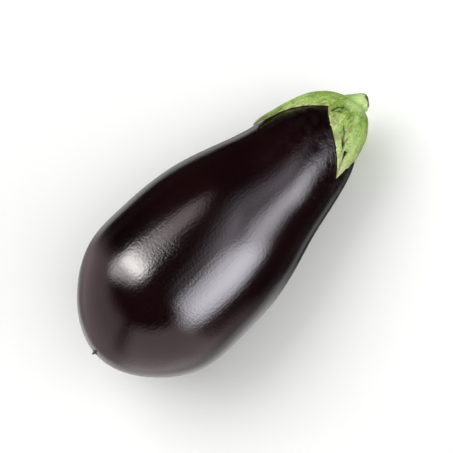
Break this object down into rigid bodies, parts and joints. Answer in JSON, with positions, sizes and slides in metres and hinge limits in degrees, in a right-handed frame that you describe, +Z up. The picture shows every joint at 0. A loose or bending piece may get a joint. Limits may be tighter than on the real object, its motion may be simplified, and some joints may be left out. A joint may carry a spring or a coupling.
{
  "type": "eggplant",
  "caption": "Glossy purple-black eggplant as picked, lying on its side, with a lobed green calyx and a short cut stem.",
  "frame": {"origin": "centre of the small flat spot on the underside of the belly, where the eggplant rests", "axes": "+X along the fruit toward the stem, +Z up from the surface it rests on, -Y toward the side that shows the widest calyx lobe"},
  "size_m": [0.2077, 0.098, 0.1003],
  "materials": {
    "skin": "gloss",
    "calyx": "satin",
    "stem": "satin",
    "dry_scar": "matte"
  },
  "bodies": {
    "root": {"fruit": "skin", "calyx": "calyx", "stem": "stem", "blossom_scar": "dry_scar"}
  },
  "joints": []
}
